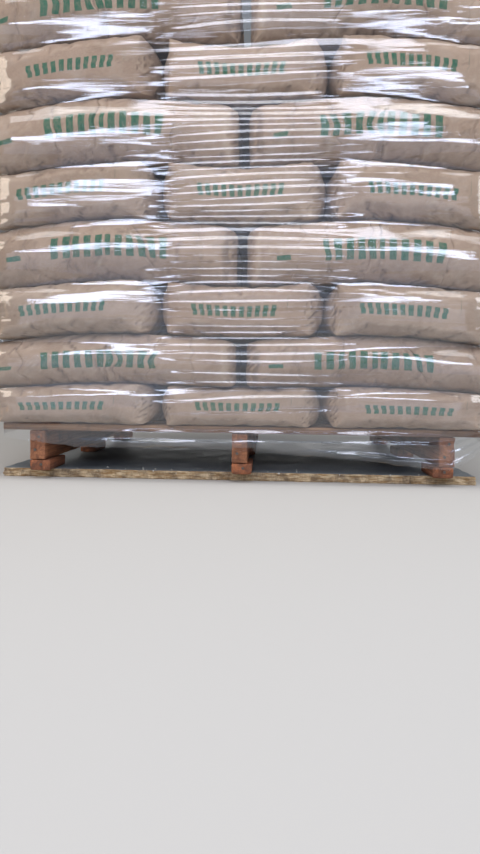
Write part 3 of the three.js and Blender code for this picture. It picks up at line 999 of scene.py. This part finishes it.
def pleats(x, phase, seed, start, end):
    """Pleats that run across, one for each whole number of the phase: each is a sharp crest that
    begins and ends in a point, somewhere near start and end."""
    rng = np.random.default_rng(seed)
    number = np.round(phase).astype(int)
    number -= number.min()
    first, last, size, sharp = rng.uniform(0, 1, (4, number.max() + 1))
    begin = start[0] + (start[1] - start[0]) * first[number]
    finish = end[0] + (end[1] - end[0]) * last[number]
    along = np.clip((x - begin) / (finish - begin), 0, 1)
    tall = (0.55 + 0.55 * size[number]) * np.sin(math.pi * along) ** 0.5
    return tall * (0.5 + 0.5 * np.cos(2 * math.pi * phase)) ** (1.0 + 1.5 * sharp[number])


def draw_lines(film, places, outward):
    """Pleats of the film where it spans the middle of each face, and fine draw lines all over. The
    pleats are strongest on the front, where the film also hangs in folds below the sacks."""
    x, z = places[..., 0], places[..., 2]
    front = (outward[:, 1] < -0.95).astype(float)
    flat_part = (np.abs(outward).max(axis=1) > 0.95) * smooth(0.15, 0.18, z)
    above = flat_part * np.where(front > 0, 1.0, OTHER_PLEATS)
    along = places[..., 1] * outward[:, 0] - x * outward[:, 1]
    drift = waves(np.stack([x * 0.12, z], axis=-1), 0.11, 501)
    phase = np.interp(z - 0.02 * along, PLEAT_HEIGHTS, PLEAT_NUMBERS) + 0.45 * drift
    tall = np.interp(z, (0.15, 0.60, 1.20), PLEAT_DEPTHS)
    film = film + tall * pleats(along, phase, 500, (-0.225, -0.175), (0.225, 0.275)) * above
    finer = pleats(along, phase * 1.7 + 0.3, 510, (-0.26, -0.10), (0.14, 0.31))
    film += 0.4 * tall * finer * above
    film += 0.0004 * np.clip(waves(places * (0.10, 0.10, 1), 0.020, 504), 0, 1)
    right = smooth(0.44, 0.50, x) * smooth(1.02, 1.06, z) * front
    slant = 0.5 + 0.5 * np.cos(2 * math.pi * (z / 0.014 + x / 0.05))
    film += 0.0020 * slant * right
    hem = z[:1]
    swell = 0.8 + 0.2 * waves(x[..., None], 0.3, 520)
    hanging = smooth(-0.48, -0.25, x) * (1 - smooth(0.45, 0.56, x)) * front
    for height in (0.126 + 0.004 * x, 0.104 + 0.004 * x, hem + 0.010):
        ridge = np.exp(-(((z - height) / SKIRT_FOLD[1]) ** 2))
        film += SKIRT_FOLD[0] * ridge * swell * hanging
    folds = smooth(0.40, 0.47, x) * (1 - smooth(0.60, 0.64, x)) * (1 - smooth(0.10, 0.135, z)) * front
    gathered = np.abs(np.sin(math.pi * (x * 22 + z * 38)))
    return film + SKIRT_GATHER * gathered * folds


def wrap_film(tree):
    """Hangs the film's rows from its hem up: below the deck, round the sacks, and over their top."""
    origins, outward = film_columns()

    def spots(distance, z):
        return np.concatenate([origins + outward * distance[..., None], z[..., None]], axis=-1)

    def on_top(distance, lift):
        top = height_of_load(tree, origins + outward * distance[:, None])
        return spots(distance, span_dips(top, 6) + FILM_CLEAR + FILM_GAUGE + lift)

    nominal = origins + outward * FILM_CORE
    top = height_of_load(tree, origins + outward * (FILM_CORE - 0.09))
    hem_front = np.interp(nominal[:, 0], HEM_FRONT_X, HEM_FRONT_Z)
    front = outward[:, 1] < -0.5
    back = (outward[:, 1] > 0.5) & (np.abs(nominal[:, 0]) < 0.56)
    hem = np.where(front, hem_front, np.where(back, HEM_BACK, HEM_SIDE))
    hem = (hem + np.roll(hem, 1) + np.roll(hem, -1)) / 3
    hem += 0.0025 * waves(nominal, 0.05, 510)
    low = np.linspace(0, 1, SKIRT_ROWS + 1)[:-1, None]
    high = np.linspace(0, 1, WRAP_ROWS)[:, None]
    turn = DECK_TOP + 0.006
    edge = span_dips(top, 12)
    for _ in range(40):
        edge = (edge + np.roll(edge, 1) + np.roll(edge, -1)) / 3
    edge = edge - ROLL_DROP
    heights = np.concatenate([hem + low * (turn - hem), turn + high * (edge - turn)])
    reach = reach_of_load(tree, origins, outward, heights)
    at_deck = reach_of_load(tree, origins, outward, np.full((1, len(origins)), DECK_TOP - 0.009))
    reach = np.where(heights < DECK_TOP, at_deck, reach) + FILM_CLEAR + FILM_GAUGE
    film = stretch(reach, origins, outward)
    film = draw_lines(film, spots(film, heights), outward)
    rows = list(spots(film, heights))
    out_edge, z_edge = film[-1], heights[-1]
    inward = np.minimum(ROLL_REACH, out_edge - 0.01)
    rest = on_top(out_edge - inward, 0)[:, 2]
    for k in range(1, ROLL_ROWS + 1):
        t = k / ROLL_ROWS
        z = z_edge * (1 - t) ** 2 + 2 * t * (1 - t) * rest + t * t * rest
        rows.append(spots((1 - t * t) * out_edge + t * t * (out_edge - inward), z))
    lip = LIP + 0.3 * LIP * waves(nominal, 0.16, 511)
    for k in range(1, LIP_ROWS + 1):
        t = k / LIP_ROWS
        ruffle = 0.004 * t * np.abs(waves(nominal, 0.045, 512))
        rows.append(on_top(out_edge - inward - lip * t, ruffle))
    return film_mesh(np.array(rows))


def film_mesh(rows):
    """Closes the film's outer face with an inner one, a film's gauge inside it: the mesh's rings run
    up the outer face and down the inner one."""
    along = np.roll(rows, -1, axis=1) - np.roll(rows, 1, axis=1)
    padded = np.concatenate([rows[:1], rows, rows[-1:]])
    up = padded[2:] - padded[:-2]
    normal = np.cross(along, up)
    normal /= np.linalg.norm(normal, axis=-1, keepdims=True)
    inner = rows - normal * FILM_GAUGE
    points = np.concatenate([rows.reshape(-1, 3), inner.reshape(-1, 3)])
    outer, inner = np.arange(len(points)).reshape(2, len(rows), -1)
    ring = np.concatenate([outer, inner[::-1]])
    above = np.roll(ring, -1, axis=0)
    corners = (ring, np.roll(ring, -1, axis=1), np.roll(above, -1, axis=1), above)
    quads = np.stack(corners, axis=-1)
    # Both faces are split along the same diagonals, so that they never cross
    quads[len(rows) :] = np.roll(quads[len(rows) :], 1, axis=-1)
    return add_mesh("clear_stretch_film", points, quads.reshape(-1, 4), stretch_film)


film = stand_in(wrap_film(ray_tree(sacks + wood)), "stretch_wrap")


# Light and floor


# Panels: name, place, what each faces, width and height, watts and colour
PANELS = (
    ("glare_left", (-1.27, -4.0, 1.71), (-0.2, -0.5, 0.75), (1.00, 0.52), 18, "#dfe8ff"),
    ("glare_middle", (0.02, -4.0, 1.66), (0.0, -0.5, 0.75), (1.36, 0.30), 4, "#dfe8ff"),
    ("glare_right", (1.17, -4.0, 1.71), (0.2, -0.5, 0.75), (0.96, 0.52), 17, "#dfe8ff"),
    ("streak_panel", (0.05, -2.9, 3.3), (0, -0.4, 0.6), (2.1, 1.4), 60, "#eef1ff"),
    ("high_front", (0, -1.9, 4.2), (0, -0.5, 0.5), (4.5, 1.6), 50, "#ffffff"),
    ("veil", (0, -4.6, 0.66), (0, -0.5, 0.6), (6.0, 1.3), 17, "#dfe8ff"),
    ("overhead", (0, -1.1, 3.6), (0, 0.0, 0.6), (3.0, 1.4), 34, "#ffffff"),
    ("side_left", (-3.3, -1.7, 1.8), (0, 0, 0.6), (2.0, 2.0), 48, "#fff0dc"),
    ("side_right", (3.3, -1.7, 1.8), (0, 0, 0.6), (2.0, 2.0), 48, "#ffffff"),
    ("behind", (0, 3.6, 0.80), (0, 0.5, 0.85), (3.4, 1.0), 30, "#ffffff"),
)
WORLD_COLOUR = "#dfe4ea"
WORLD_STRENGTH = 0.24


def add_studio():
    """Large panels light the load softly. The low ones in front are the glare and the veil on its
    film, and the narrow high one makes the streaks on the film's pleats."""
    for name, place, target, size, watts, colour in PANELS:
        data = bpy.data.lights.new(name, "AREA")
        data.shape = "RECTANGLE"
        data.size, data.size_y = size
        data.energy = watts
        data.color = linear(colour)[:3]
        turn = (Vector(target) - Vector(place)).to_track_quat("-Z", "Y").to_matrix().to_4x4()
        add_object(name, data).matrix_world = Matrix.Translation(place) @ turn
    world = bpy.data.worlds.new("studio")
    world.use_nodes = True
    sky = world.node_tree.nodes["Background"].inputs
    sky["Color"].default_value = linear(WORLD_COLOUR)
    sky["Strength"].default_value = WORLD_STRENGTH
    scene.world = world
    scene.view_settings.view_transform = "Standard"


def add_floor():
    material, _ = new_material("pale_floor")
    surfaced(material, "#bcbab6", (), 1.0, **{"Specular IOR Level": 0.0})
    corners = np.array([(-6, -6, 0), (6, -6, 0), (6, 6, 0), (-6, 6, 0)], float)
    floor = add_mesh("studio_floor", corners, np.array([(0, 1, 2, 3)]), material)


add_studio()
add_floor()
